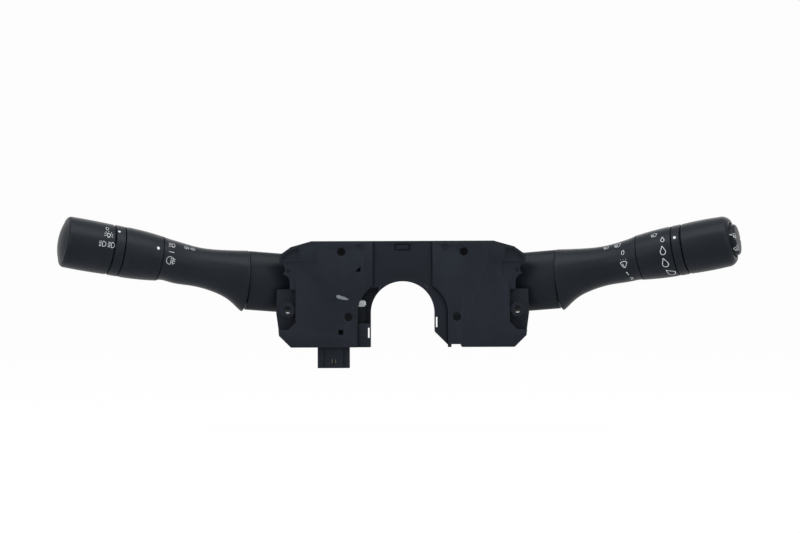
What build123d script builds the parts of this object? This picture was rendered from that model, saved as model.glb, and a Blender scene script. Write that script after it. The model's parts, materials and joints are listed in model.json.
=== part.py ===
"""Combination stalk switch for a steering column.

A U-shaped carrier frame straddles the column. It holds a lighting module on the left and a wiper
module on the right, each with its own stalk, pivots, detent, contacts and plug.

+X points to the driver's right, +Y away from the driver along the column, and +Z up. The origin is on
the column's axis, in the plane where the two fixing ears seat. Sizes are in millimetres. Pieces that
both modules share are drawn for the right-hand one and mirrored for the left-hand one.
"""

from build123d import *
from math import cos, radians, sin, sqrt
import os

os.makedirs("parts", exist_ok=True)

# ---------------------------------------------------------------- carrier frame
COLUMN_R = 20.0          # inside radius of the saddle that straddles the column
SADDLE_WALL = 2.5
SADDLE_BACK = 24.0       # how far the saddle's collar runs back from the seat plane
LEG_RIGHT = 11.5         # straight leg of the saddle on the wiper side
EAR_SPACING = 143.0      # between the two fixing screws
EAR_Z = 2.4
EAR_HOLE_R = 2.1
EAR_BOSS_R = 4.7
EAR_BOSS_H = 6.5
PLATE_T = 2.5            # the plate's back face is the seat plane, Y = 0
BRIDGE_H = 6.0           # height of the bridge between the modules
EDGE_FIT = 0.3           # air between the bridge and the covers
MOUTH_X = 63.5           # the plate is open from here outwards, for the neck of the stalk
MOUTH_LOW_Z, MOUTH_HIGH_Z = 15.2, 34.0
STRIP_T = 0.6            # sprung strip between each slot and the column
SLOT_W, SLOT_H = 1.3, 6.9
RIGHT_SLOT_TOP, LEFT_SLOT_TOP = -2.2, -8.8
EDGE_NOTCH = (30.2, 36.7)  # notch in the wiper side's lower edge, from X to X
EDGE_NOTCH_H = 1.8

# ---------------------------------------------------------------- outline of frame and covers
TOP_Z = 45.1
TOP_CORNER_X = 56.5
SHOULDER_X, SHOULDER_Z = 69.3, 41.5
TIP_X, TIP_Z = 76.6, 36.3
SIDE_X, SIDE_Z = 78.7, 0.5
LOWER_X, LOWER_Z = 76.8, -13.6
FOOT_X = 69.4
BOTTOM_Z = -20.9
MODULE_EDGE_X = 18.5     # inner edge of each cover above the column
CRESCENT_X = 28.0        # inner edge of each cover beside the column
CRESCENT_TOP_Z, CRESCENT_LOW_Z = 17.2, 1.9
BULGE_X, BULGE_Z = 24.9, 10.7   # the crescent edge passes through this point

# ---------------------------------------------------------------- front covers
COVER_H = 8.0            # front face of the covers, ahead of the seat plane
COVER_T = 2.2
SKIRT_T = 1.8
STEP_H = 0.7             # the outer zone of the cover lies this much lower
STEP_TOP_X, STEP_LOW_X = 62.0, 66.0
STEP_TOP_Z, STEP_BEND_Z, STEP_LOW_Z = 32.4, 24.0, -6.0
NOTCH_X = 66.6           # cut-out round the fixing ear
NOTCH_TOP_Z, NOTCH_LOW_Z = 15.0, -10.0
NOTCH_CHAMFER = 4.5
BAY_X, BAY_Z = 70.1, 19.5   # the cover's edge beside the neck runs in and out in two arcs
HORN_X, HORN_Z = 74.4, 24.6
POCKET_DEPTH = 1.4
PAD_X, PAD_Z, PAD_SIZE, PAD_H = 58.7, 37.1, 9.4, 0.4
UPPER_SCREW = (38.0, 38.4)
LOWER_SCREW = (33.6, -2.0)
HEAD_R, HEAD_H = 2.2, 1.5
SHANK_R = 1.28
SCREW_LENGTH = 14.0
WELL_R = 2.5
WELL_WALL = 1.5
WELL_FLOOR = 1.2
SHANK_FIT = 0.3
DIMPLE_X, DIMPLE_Z, DIMPLE_R, DIMPLE_DEPTH = 26.7, 40.9, 2.2, 0.8
PIN_MARK_X, PIN_MARK_Z, PIN_MARK_R = 70.9, 26.6, 1.2
PEEP_X, PEEP_Z, PEEP_SIZE = 26.0, 26.1, 3.3   # corner and legs of a triangular hole
KEY_X, KEY_Z, KEY_SIZE = 38.4, -11.5, 3.0

# ---------------------------------------------------------------- module housings
HOUSING_BACK = 33.0
HOUSING_WALL = 2.0
HOUSING_INNER_X = 26.0
HOUSING_OUTER_X = 66.0
HOUSING_CHAMFER = 3.5
HOUSING_MOUTH_Z = -6.0   # lower edge of the side opening for the neck
BOSS_R = 3.2
PILOT_R = 1.3

# ---------------------------------------------------------------- lever pivots and detent
PIVOT_X, PIVOT_Y, PIVOT_Z = 56.0, 19.0, 18.6
RUNNING = 0.05           # radial clearance of pivots, plungers and turning sleeves
PRESS = 0.02             # radial clearance of pieces pressed into each other
TRUNNION_R = 4.0
TRUNNION_SHORT = 0.3     # the trunnions stop this far short of the outer faces
YOKE_X0, YOKE_X1 = 49.0, 61.5
YOKE_HALF_Z = 12.2
YOKE_FRONT, YOKE_BACK = 0.6, 30.4
WINDOW_HALF_Z = 8.2
WINDOW_FRONT, WINDOW_BACK = 10.0, 28.0
TILT_PIN_R = 2.0
PIN_SHORT = 0.5
FINGER_X, FINGER_HALF_X = 55.0, 3.5
FINGER_LOW_Z = -13.0
FINGER_FRONT, FINGER_BACK = 3.4, 7.4
BRIDGE_CONTACT_T = 1.1
BRIDGE_CONTACT_H = 4.6
CONTACT_GAP = 0.1
TRACK_T = 0.4
DETENT_R = 20.0          # reach of the plunger's tip from the pivot
DETENT_AIR = 0.3
CAM_HALF = 8.0
CAM_REACH = 11.5
NOTCH_R, NOTCH_SINK = 1.6, 0.5
PLUNGER_R = 2.4
PLUNGER_LENGTH = 10.7
TAIL_R = 4.6
TAIL_REACH = 13.0
TAIL_BORE_END = 4.0      # distance of the bore's bottom from the pivot
HUB_HALF_X, HUB_HALF_Y, HUB_HALF_Z = 5.0, 6.0, 7.2
SPRING_WIRE = 0.5
SPRING_TURNS = 4

# ---------------------------------------------------------------- stalks
LEAN = 17.0              # degrees towards the driver
RISE = 10.25             # degrees upwards
AXIS_DROP = 1.8          # the stalk's axis passes this far below the pivot
TUBE_R = 7.0
TUBE_BORE_R = 4.75
TUBE_BORE_START = 55.0
WIPER_TUBE_END = 136.0
ARM_HALF_Y, ARM_HALF_H = 5.0, 7.0
ARM_LENGTH = 36.0
SHELL_WALL = 2.0
SEAM = 0.5               # dark gap between two pieces along the stalk
SHELL_RIBS = (62.0, 92.0)
RIB_T = 1.6
SKIRT_TILT = 4.0         # the skirt's end leans this much off square
SKIRT_START = 45.0
# sections of the stalk: distance, centre's height, half height, half depth
SKIRT_SECTIONS = (
    (39.0, -4.1, 19.2, 14.2),
    (46.0, -3.5, 18.3, 13.8),
    (53.0, -1.95, 15.6, 12.7),
    (60.0, -1.25, 13.9, 12.05),
    (68.0, -1.0, 12.7, 11.75),
    (78.0, -0.9, 12.25, 11.75),
    (89.0, -0.55, 12.9, 12.7),
)
THROAT_R = 14.0          # radius where the shells meet the first ring
RING_R = 15.6
KNOB_R = 15.85
RING_WALL = 1.8
NECK_RISE = 4.5          # degrees upwards
NECK_DROP = 1.05         # the neck's axis passes this far below the pivot
NECK_HALF_H, NECK_HALF_D = 18.4, 9.4
NECK_WALL = 1.8
NECK_INNER_X = 63.6      # the neck starts here, clear of the yoke while the stalk tilts
NECK_END = 43.3          # along the neck, from the pivot
NECK_WEB = 20.0
SPIGOT_INSET_H, SPIGOT_INSET_D = 4.2, 0.9   # the neck's end is this much slimmer, inside the skirt
SPIGOT_LENGTH = 3.2
# lighting side
FOG_START, FOG_END = 101.4, 125.1
LIGHT_START = 132.0
KNOB_LENGTH = 28.3
LIGHT_RIM = LIGHT_START + KNOB_LENGTH
LIGHT_TUBE_END = LIGHT_RIM - 18.3
LIGHT_DOME = 4.0
LIGHT_SHAFT_START = 60.0
LIGHT_BOSS = 12.0
CLIP_T, CLIP_SINK, CLIP_REACH = 0.9, 0.6, 2.0
# wiper side
INTERVAL_START, INTERVAL_END = 97.8, 120.0
CAP_START = 126.5
CAP_R = 15.9
CAP_SHOULDER = 150.5
CAP_END = 156.0
CAP_RIM_R = 12.9
ROCKER_WELL_R = 10.9
ROCKER_BALL_R = 10.5
ROCKER_PIVOT = 152.0
ROCKER_TOP = 159.3
ROCKER_TOP_R = 9.6
ROCKER_DEPTH = 6.5
ROCKER_PIN_R = 1.25

# ---------------------------------------------------------------- turn signal cancelling
CANCEL_Z = 6.2
CANCEL_FRONT, CANCEL_BACK = 2.0, 8.0
CANCEL_HALF_H = 3.0
CANCEL_NOSE_X = 22.9
CANCEL_FORK_X = 28.7
CANCEL_PIN_X = 31.6
CANCEL_PIN_R = 1.1
CANCEL_END_X = 44.0
PAWL_T = 4.2
PAWL_HALF_Y = 1.7
PAWL_TIP = 15.0          # the pawl tips this many degrees each way
GUIDE_FIT = 0.2
LUG_T = 2.5
CANCEL_SPRING_R = 1.9
WINDOW_TOP_Z, WINDOW_LOW_Z = 16.5, -6.3
APRON_GAP = 2.0          # between the slider and the wall that closes the window behind it
APRON_LAP = 1.5          # how far that wall goes below the window
RIB_LOW_Z = 12.0
SHOE_X0, SHOE_X1 = 23.5, 29.5
SHOE_LOW_Z, SHOE_TOP_Z = -6.0, 3.7
PAWL_ROOM_Z = 1.2        # the fork is open down to here, for the tipping pawl

# ---------------------------------------------------------------- electrical parts
BOARD_T = 1.6
BOARD_X0, BOARD_X1 = 34.5, 62.6
BOARD_Z0, BOARD_Z1 = -16.0, -5.8
TRACKS = 3
TRACK_LINE = FINGER_BACK + BRIDGE_CONTACT_T + CONTACT_GAP   # front of the tracks
LIGHT_PLUG_X, LIGHT_PLUG_W = 43.05, 19.9
LIGHT_PLUG_FRONT, LIGHT_PLUG_BACK = -4.6, 9.2
LIGHT_PLUG_LOW = -33.8
WIPER_PLUG_X, WIPER_PLUG_W = 50.6, 18.0
WIPER_PLUG_Z, WIPER_PLUG_H = -11.9, 11.0
WIPER_PLUG_BACK = 46.0
PLUG_WALL, PLUG_FLOOR = 1.5, 3.0
TERMINAL_W = 0.8
TERMINAL_FIT = 0.05
TERMINAL_PITCH = 2.1
TERMINAL_MARGIN = 1.0    # least distance from the outer terminals to the plug's wall
TERMINAL_STOP = 2.8      # terminals end this far inside the plug's mouth


# ---------------------------------------------------------------- drawing helpers
def slab(face, front, back):
    """Makes a plate from an outline in X and Z, between two depths along Y."""
    plane = Plane(origin=(0, back, 0), x_dir=(1, 0, 0), z_dir=(0, -1, 0))
    return extrude(plane * face, back - front, dir=(0, -1, 0))


def outline(*points):
    return Polygon(*points, align=None)


def block(x, y, z):
    """A box between two bounds along each of X, Y and Z."""
    middle = ((x[0] + x[1]) / 2, (y[0] + y[1]) / 2, (z[0] + z[1]) / 2)
    return Pos(*middle) * Box(x[1] - x[0], y[1] - y[0], z[1] - z[0])


def rod_y(x, z, radius, front, back):
    return Pos(x, (front + back) / 2, z) * Rot(90, 0, 0) * Cylinder(radius, back - front)


def rod_x(y, z, radius, start, end):
    return Pos((start + end) / 2, y, z) * Rot(0, 90, 0) * Cylinder(radius, end - start)


def rod_z(x, y, radius, low, high):
    return Pos(x, y, (low + high) / 2) * Cylinder(radius, high - low)


def turned(*points):
    """Revolves (distance, radius) points about the X axis."""
    return revolve(Plane.XZ * outline(*points), Axis.X, 360)


def ring(start, end, inner, outer):
    return rod_x(0, 0, outer, start, end) - rod_x(0, 0, inner, start, end)


def lean_plane(rise, height):
    """A frame at the pivot: x runs along a stalk with this rise, and z points up."""
    lean, up = radians(LEAN), radians(rise)
    along = (cos(lean) * cos(up), -sin(lean) * cos(up), sin(up))
    normal = (-cos(lean) * sin(up), sin(lean) * sin(up), cos(up))
    return Plane(origin=(PIVOT_X, PIVOT_Y, height), x_dir=along, z_dir=normal)


STALK = lean_plane(RISE, PIVOT_Z - AXIS_DROP).location
NECK = lean_plane(NECK_RISE, PIVOT_Z - NECK_DROP).location


def left(part):
    return mirror(part, about=Plane.YZ)


def save(part, name):
    part.label = name
    export_step(part, f"parts/{name}.step")


# ---------------------------------------------------------------- shared outlines
def inner_edge(shift):
    """Cover's edge above and beside the column, from the top down, moved towards the column."""
    edge_x, crescent_x = MODULE_EDGE_X - shift, CRESCENT_X - shift
    bulge = (BULGE_X - shift, BULGE_Z)
    top = Line((edge_x, TOP_Z), (edge_x, CRESCENT_TOP_Z))
    curve = ThreePointArc((edge_x, CRESCENT_TOP_Z), bulge, (crescent_x, CRESCENT_LOW_Z))
    return top + curve + Line((crescent_x, CRESCENT_LOW_Z), (crescent_x, BOTTOM_Z))


def cover_face():
    corner_z = NOTCH_LOW_Z + NOTCH_CHAMFER
    rest = Polyline(
        (CRESCENT_X, BOTTOM_Z), (FOOT_X, BOTTOM_Z), (LOWER_X, LOWER_Z),
        (LOWER_X + 0.4, NOTCH_LOW_Z), (NOTCH_X + NOTCH_CHAMFER, NOTCH_LOW_Z),
        (NOTCH_X, corner_z), (NOTCH_X, NOTCH_TOP_Z), (BAY_X, NOTCH_TOP_Z), (BAY_X, BAY_Z),
    )
    bay = ThreePointArc((BAY_X, BAY_Z), (BAY_X + 1.1, BAY_Z + 3.3), (HORN_X, HORN_Z))
    wave = bay + ThreePointArc((HORN_X, HORN_Z), (HORN_X - 1.4, HORN_Z + 4.2), (TIP_X - 0.3, HORN_Z + 7.2))
    top = Polyline((TIP_X - 0.3, HORN_Z + 7.2), (TIP_X, TIP_Z), (SHOULDER_X, SHOULDER_Z), (TOP_CORNER_X, TOP_Z),
                   (MODULE_EDGE_X, TOP_Z))
    return make_face(inner_edge(0) + rest + wave + top)


def saddle_face(radius, leg):
    """Outline round the column: a half circle on two straight legs."""
    dome = Circle(radius) & (Pos(0, radius / 2) * Rectangle(2 * radius, radius))
    return dome + Pos(0, -leg / 2) * Rectangle(2 * radius, leg)


def bridge_face():
    """The raised strip between the covers, with a leg down each side of the column."""
    right = inner_edge(EDGE_FIT)
    foot = Polyline((CRESCENT_X - EDGE_FIT, BOTTOM_Z), (0, BOTTOM_Z), (0, TOP_Z),
                    (MODULE_EDGE_X - EDGE_FIT, TOP_Z))
    half = make_face(right + foot)
    return half + mirror(half, about=Plane.YZ)


def plate_face():
    half = outline(
        (0, TOP_Z), (TOP_CORNER_X, TOP_Z), (SHOULDER_X, SHOULDER_Z), (TIP_X, TIP_Z),
        (TIP_X - 1, MOUTH_HIGH_Z), (MOUTH_X, MOUTH_HIGH_Z), (MOUTH_X, MOUTH_LOW_Z),
        (SIDE_X - 0.6, MOUTH_LOW_Z), (SIDE_X, SIDE_Z), (LOWER_X, LOWER_Z), (FOOT_X, BOTTOM_Z),
        (0, BOTTOM_Z),
    )
    return half + mirror(half, about=Plane.YZ)


# ---------------------------------------------------------------- carrier frame
def base_frame():
    frame = slab(plate_face(), -PLATE_T, 0) + slab(bridge_face(), -BRIDGE_H, -PLATE_T)
    for side in (1, -1):
        frame += rod_y(side * EAR_SPACING / 2, EAR_Z, EAR_BOSS_R, -EAR_BOSS_H, 0)
    frame -= slab(saddle_face(COLUMN_R + SADDLE_WALL + PRESS, 1 - BOTTOM_Z), -BRIDGE_H - 1, 1)
    for side in (1, -1):
        frame -= rod_y(side * EAR_SPACING / 2, EAR_Z, EAR_HOLE_R, -EAR_BOSS_H - 1, 1)
        frame -= rod_y(side * PIVOT_X, PIVOT_Z, TRUNNION_R + RUNNING, -PLATE_T - 1, 1)
        for x, z in (UPPER_SCREW, LOWER_SCREW):
            frame -= rod_y(side * x, z, SHANK_R + SHANK_FIT, -PLATE_T - 1, 1)
    return frame - wiper_side_chamfer() - cancel_window() - bridge_lock() - edge_notch()


def column_collar():
    """Half-round collar with two legs that straddles the column, pressed into the frame."""
    collar = slab(saddle_face(COLUMN_R + SADDLE_WALL, -BOTTOM_Z), -BRIDGE_H, SADDLE_BACK)
    collar -= slab(saddle_face(COLUMN_R, 1 - BOTTOM_Z), -BRIDGE_H - 1, SADDLE_BACK + 1)
    return collar - wiper_side_chamfer() - cancel_window() - saddle_slots() + window_apron()


def wiper_side_chamfer():
    """Takes the lower right leg back at 45 degrees, from the end of the saddle's straight leg."""
    run = -BOTTOM_Z - LEG_RIGHT + 1
    low = -LEG_RIGHT - run
    cut = outline((COLUMN_R - 1, -LEG_RIGHT + 1), (COLUMN_R - 1, low), (COLUMN_R + run, low))
    return slab(cut, -BRIDGE_H - 1, SADDLE_BACK + 1)


def cancel_window():
    """Opening beside the column through which the cancelling pawl reaches its cam."""
    edge = CRESCENT_X + SADDLE_WALL / 4
    inner = COLUMN_R - 5
    face = outline(
        (inner, WINDOW_TOP_Z), (COLUMN_R + 1.2, WINDOW_TOP_Z - 1), (edge - 1.5, CRESCENT_LOW_Z + 4.9),
        (edge, CRESCENT_LOW_Z + 3.1), (edge, WINDOW_LOW_Z), (inner, WINDOW_LOW_Z),
    )
    return left(slab(face, -BRIDGE_H - 1, CANCEL_BACK + APRON_GAP))


def window_apron():
    """Closes the window behind the cancelling slider, with a rib above the pawl."""
    collar = COLUMN_R + SADDLE_WALL - 0.5
    edge = HOUSING_INNER_X - EDGE_FIT
    back = CANCEL_BACK + APRON_GAP
    apron = block((COLUMN_R - 6, edge), (back, back + SADDLE_WALL), (WINDOW_LOW_Z - APRON_LAP, WINDOW_TOP_Z))
    apron -= rod_y(0, 0, COLUMN_R + SADDLE_WALL / 2, back - 1, back + SADDLE_WALL + 1)
    rib_top = WINDOW_TOP_Z - 0.5
    rib = outline((collar, RIB_LOW_Z), (edge, RIB_LOW_Z), (collar + 1.2, rib_top), (collar, rib_top))
    return left(apron + slab(rib, CANCEL_FRONT, back + 1))


def saddle_slots():
    """Slots cut through both legs, each behind a thin sprung strip that faces the column."""
    slot = (COLUMN_R + STRIP_T, COLUMN_R + STRIP_T + SLOT_W)
    depth = (-BRIDGE_H - 1, SADDLE_BACK + 1)
    right = block(slot, depth, (RIGHT_SLOT_TOP - SLOT_H, RIGHT_SLOT_TOP))
    return right + left(block(slot, depth, (LEFT_SLOT_TOP - SLOT_H, LEFT_SLOT_TOP)))


def edge_notch():
    return block(EDGE_NOTCH, (-COVER_H - 1, HOUSING_BACK + 1), (BOTTOM_Z - 1, BOTTOM_Z + EDGE_NOTCH_H))


def bridge_lock():
    """Shallow pocket with a tongue, in the middle of the bridge's top edge."""
    pocket = block((-5.2, 5.2), (-BRIDGE_H - 1, -BRIDGE_H + 1.2), (39.0, 43.4))
    return pocket - block((-3.6, 3.6), (-BRIDGE_H - 1, -BRIDGE_H + 1.2), (40.0, 42.4))


# ---------------------------------------------------------------- covers and their screws
def screw_well(x, z):
    """The boss behind a cover's screw hole, and the cuts in it."""
    boss = rod_y(x, z, WELL_R + WELL_WALL, -COVER_H + COVER_T / 2, -PLATE_T)
    cuts = rod_y(x, z, WELL_R, -COVER_H - 1, -PLATE_T - WELL_FLOOR)
    cuts += rod_y(x, z, SHANK_R + SHANK_FIT, -COVER_H, 0)
    return boss, cuts


def cover_cavity():
    """Inside of the cover's skirt; outboard of it the rim stays thick round the ear."""
    wall = SKIRT_T
    outer_x = NOTCH_X - wall
    slope = (TOP_Z - SHOULDER_Z) / (SHOULDER_X - TOP_CORNER_X)
    return outline(
        (MODULE_EDGE_X + wall, TOP_Z - wall), (TOP_CORNER_X, TOP_Z - wall),
        (outer_x, TOP_Z - wall - slope * (outer_x - TOP_CORNER_X)), (outer_x, BOTTOM_Z + wall),
        (CRESCENT_X + wall, BOTTOM_Z + wall), (CRESCENT_X + wall, CRESCENT_LOW_Z + wall),
        (BULGE_X + 1.3 * wall, BULGE_Z + wall), (MODULE_EDGE_X + wall, CRESCENT_TOP_Z + 1.3 * wall),
    )


def front_cover():
    cover = slab(cover_face(), -COVER_H, -PLATE_T) - slab(cover_cavity(), -COVER_H + COVER_T, 0)
    cover += block((PAD_X - PAD_SIZE / 2, PAD_X + PAD_SIZE / 2), (-COVER_H - PAD_H, -COVER_H + 1),
                   (PAD_Z - PAD_SIZE / 2, PAD_Z + PAD_SIZE / 2))
    zone = outline(
        (STEP_TOP_X, STEP_TOP_Z), (SIDE_X + 2, STEP_TOP_Z), (SIDE_X + 2, STEP_LOW_Z), (STEP_LOW_X, STEP_LOW_Z),
        (STEP_LOW_X, STEP_BEND_Z - 3), (STEP_TOP_X, STEP_BEND_Z),
    )
    cover -= slab(zone, -COVER_H - 1, -COVER_H + STEP_H)
    pocket = outline((64.4, 40.7), (69.0, 39.6), (74.6, 35.6), (74.6, STEP_TOP_Z + 1), (64.4, STEP_TOP_Z + 1))
    cover -= slab(pocket, -COVER_H - 1, -COVER_H + POCKET_DEPTH)
    neck_room = (-COVER_H + COVER_T, 0)
    cover -= block((NOTCH_X - SKIRT_T - 1, SIDE_X + 2), neck_room, (NOTCH_TOP_Z + 1, MOUTH_HIGH_Z - 1))
    for x, z in (UPPER_SCREW, LOWER_SCREW):
        boss, cuts = screw_well(x, z)
        cover = cover + boss - cuts
    cover -= rod_y(PIN_MARK_X, PIN_MARK_Z, PIN_MARK_R, -COVER_H - 1, -COVER_H + STEP_H + DIMPLE_DEPTH)
    return cover - rod_y(DIMPLE_X, DIMPLE_Z, DIMPLE_R, -COVER_H - 1, -COVER_H + DIMPLE_DEPTH)


def left_front_cover():
    window = (-COVER_H - 1, -COVER_H + COVER_T + 1)
    half = KEY_SIZE / 2
    key = block((KEY_X - half, KEY_X + half), window, (KEY_Z - half, KEY_Z + half))
    peep = outline((PEEP_X, PEEP_Z), (PEEP_X + PEEP_SIZE, PEEP_Z), (PEEP_X, PEEP_Z + PEEP_SIZE))
    return left(front_cover() - key - slab(peep, *window))


def right_front_cover():
    return front_cover() - edge_notch()


def cover_screws():
    seat = -PLATE_T - WELL_FLOOR
    screws = []
    for side in (1, -1):
        for x, z in (UPPER_SCREW, LOWER_SCREW):
            head = rod_y(side * x, z, HEAD_R, seat - HEAD_H, seat)
            hexagon = extrude(RegularPolygon(1.2, 6), HEAD_H, both=True)
            socket = Pos(side * x, seat - HEAD_H, z) * Rot(90, 0, 0) * hexagon
            shank = rod_y(side * x, z, SHANK_R, seat, seat + SCREW_LENGTH)
            screws.append(head + shank - socket)
    return Compound(children=screws)


# ---------------------------------------------------------------- rear housings
def housing_face(inset):
    slope = (TOP_Z - SHOULDER_Z) / (SHOULDER_X - TOP_CORNER_X)
    corner_z = TOP_Z - slope * (HOUSING_OUTER_X - TOP_CORNER_X)
    face = outline(
        (HOUSING_INNER_X, TOP_Z), (TOP_CORNER_X, TOP_Z), (HOUSING_OUTER_X, corner_z),
        (HOUSING_OUTER_X, BOTTOM_Z + 5), (HOUSING_OUTER_X - 5, BOTTOM_Z),
        (HOUSING_INNER_X + HOUSING_CHAMFER, BOTTOM_Z), (HOUSING_INNER_X, BOTTOM_Z + HOUSING_CHAMFER),
    )
    return offset(face, -inset, kind=Kind.INTERSECTION) if inset else face


def housing_bosses():
    bosses, pilots = [], []
    for x, z in (UPPER_SCREW, LOWER_SCREW):
        bosses.append(rod_y(x, z, BOSS_R, 0, HOUSING_BACK - HOUSING_WALL))
        pilots.append(rod_y(x, z, PILOT_R, -1, SCREW_LENGTH + 2))
    return bosses, pilots


def rear_housing():
    """Deep tray behind the plate: open at the front, and at its side where the neck comes in."""
    inner_back = HOUSING_BACK - HOUSING_WALL
    housing = slab(housing_face(0), 0, HOUSING_BACK) - slab(housing_face(HOUSING_WALL), -1, inner_back)
    bosses, pilots = housing_bosses()
    for boss in bosses:
        housing += boss & slab(housing_face(0), 0, HOUSING_BACK)
    seat_z = BOTTOM_Z + HOUSING_WALL
    board_back = TRACK_LINE + TRACK_T + BOARD_T
    rest_x = (BOARD_X0 + 3, BOARD_X1 - 3)
    housing += block(rest_x, (TRACK_LINE, board_back + 2), (seat_z - 0.5, BOARD_Z0))
    housing += block(rest_x, (board_back + 0.1, board_back + 2), (seat_z - 0.5, BOARD_Z0 + 2.5))
    mouth = block((HOUSING_OUTER_X - HOUSING_WALL - 1, HOUSING_OUTER_X + 1), (-1, inner_back),
                  (HOUSING_MOUTH_Z, TOP_Z - 5))
    housing -= mouth
    housing -= rod_y(PIVOT_X, PIVOT_Z, TRUNNION_R + RUNNING, inner_back - 1, HOUSING_BACK + 1)
    for pilot in pilots:
        housing -= pilot
    return housing


def left_rear_housing():
    wall = (HOUSING_INNER_X - 1, HOUSING_INNER_X + HOUSING_WALL + 1)
    guide_z = (SHOE_LOW_Z - GUIDE_FIT, CANCEL_Z + CANCEL_HALF_H + GUIDE_FIT)
    guide = block(wall, (-1, CANCEL_BACK + GUIDE_FIT), guide_z)
    swing = (CANCEL_PIN_X - HOUSING_INNER_X) * sin(radians(PAWL_TIP))
    guide += block(wall, (-1, CANCEL_BACK - 1), (CANCEL_Z, CANCEL_Z + PAWL_T / 2 + swing + GUIDE_FIT))
    places = terminal_places(LIGHT_PLUG_X, LIGHT_PLUG_W)
    pins = block((places[0] - 1, places[-1] + 1), (light_plug_y() - 1.2, light_plug_y() + 1.2),
                 (BOTTOM_Z - 1, BOTTOM_Z + HOUSING_WALL + 1))
    return left(rear_housing() - guide - pins)


def right_rear_housing():
    places = terminal_places(WIPER_PLUG_X, WIPER_PLUG_W)
    slot = block((places[0] - 1, places[-1] + 1), (HOUSING_BACK - HOUSING_WALL - 1, HOUSING_BACK + 1),
                 (WIPER_PLUG_Z - 1.2, WIPER_PLUG_Z + 1.2))
    floor = (EDGE_NOTCH[0] - HOUSING_WALL, EDGE_NOTCH[1] + HOUSING_WALL)
    floor_z = (BOTTOM_Z + 1, BOTTOM_Z + EDGE_NOTCH_H + HOUSING_WALL)
    housing = rear_housing() + block(floor, (0, HOUSING_BACK - 1), floor_z)
    return housing - edge_notch() - slot


# ---------------------------------------------------------------- yokes and detents
def yoke():
    """Frame that turns about the Y axis; the lever tilts inside its window about the pin."""
    body = block((YOKE_X0, YOKE_X1), (YOKE_FRONT, YOKE_BACK), (PIVOT_Z - YOKE_HALF_Z, PIVOT_Z + YOKE_HALF_Z))
    body = fillet(body.edges().filter_by(Axis.Y), 2.5)
    body -= block((YOKE_X0 - 1, YOKE_X1 + 1), (WINDOW_FRONT, WINDOW_BACK),
                  (PIVOT_Z - WINDOW_HALF_Z, PIVOT_Z + WINDOW_HALF_Z))
    back_end = HOUSING_BACK - TRUNNION_SHORT
    body += rod_y(PIVOT_X, PIVOT_Z, TRUNNION_R, -PLATE_T + TRUNNION_SHORT, YOKE_FRONT)
    body += rod_y(PIVOT_X, PIVOT_Z, TRUNNION_R, YOKE_BACK, back_end)
    finger_x = (FINGER_X - FINGER_HALF_X, FINGER_X + FINGER_HALF_X)
    body += block(finger_x, (FINGER_FRONT, FINGER_BACK), (FINGER_LOW_Z, PIVOT_Z - YOKE_HALF_Z + 1))
    reach = YOKE_HALF_Z + 1
    return body - rod_z(PIVOT_X, PIVOT_Y, TILT_PIN_R + PRESS, PIVOT_Z - reach, PIVOT_Z + reach)


def tilt_pin():
    half = YOKE_HALF_Z - PIN_SHORT
    return rod_z(PIVOT_X, PIVOT_Y, TILT_PIN_R, PIVOT_Z - half, PIVOT_Z + half)


def contact_bridge():
    """Copper shoe on the yoke's finger: three blades that run on the board's tracks."""
    top = FINGER_LOW_Z + BRIDGE_CONTACT_H + 1
    back = (FINGER_BACK, FINGER_BACK + BRIDGE_CONTACT_T / 2)
    shoe = block((FINGER_X - FINGER_HALF_X, FINGER_X + FINGER_HALF_X), back, (FINGER_LOW_Z, top))
    for index in range(TRACKS):
        x = FINGER_X + (index - (TRACKS - 1) / 2) * 2.4
        blade = (FINGER_BACK, FINGER_BACK + BRIDGE_CONTACT_T)
        shoe += block((x - 0.8, x + 0.8), blade, (FINGER_LOW_Z + 0.5, top - 2))
    return shoe


def detent_cam():
    """Dished block beside the column: its dish has a notch for each place where the stalk stays."""
    inner = HOUSING_INNER_X + HOUSING_WALL
    cam = block((inner, inner + CAM_REACH), (PIVOT_Y - CAM_HALF, PIVOT_Y + CAM_HALF),
                (PIVOT_Z - CAM_HALF, PIVOT_Z + CAM_HALF))
    face_r = DETENT_R + DETENT_AIR
    cam -= Pos(PIVOT_X, PIVOT_Y, PIVOT_Z) * Sphere(face_r)
    for angle in (-12, 0, 12):
        reach = face_r - NOTCH_R + NOTCH_SINK
        x, z = PIVOT_X - reach * cos(radians(angle)), PIVOT_Z + reach * sin(radians(angle))
        cam -= Pos(x, PIVOT_Y, z) * Sphere(NOTCH_R)
    return cam


def detent_plunger():
    tip = PIVOT_X - DETENT_R
    body = rod_x(PIVOT_Y, PIVOT_Z, PLUNGER_R, tip + PLUNGER_R, tip + PLUNGER_LENGTH)
    return body + Pos(tip + PLUNGER_R, PIVOT_Y, PIVOT_Z) * Sphere(PLUNGER_R)


def coil_spring(radius, length):
    """A coil of square wire about the X axis, from x = 0."""
    pitch = (length - SPRING_WIRE) / SPRING_TURNS
    path = Helix(pitch=pitch, height=pitch * SPRING_TURNS, radius=radius - SPRING_WIRE / 2)
    start = Plane(origin=path @ 0, z_dir=path % 0)
    coil = sweep(start * Rectangle(SPRING_WIRE, SPRING_WIRE), path=path, is_frenet=True)
    return Pos(SPRING_WIRE / 2, 0, 0) * Rot(0, 90, 0) * coil


def detent_spring():
    start = PIVOT_X - DETENT_R + PLUNGER_LENGTH
    length = PIVOT_X - TAIL_BORE_END - start
    return Pos(start + 0.15, PIVOT_Y, PIVOT_Z) * coil_spring(PLUNGER_R - 0.2, length - 0.3)


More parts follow.
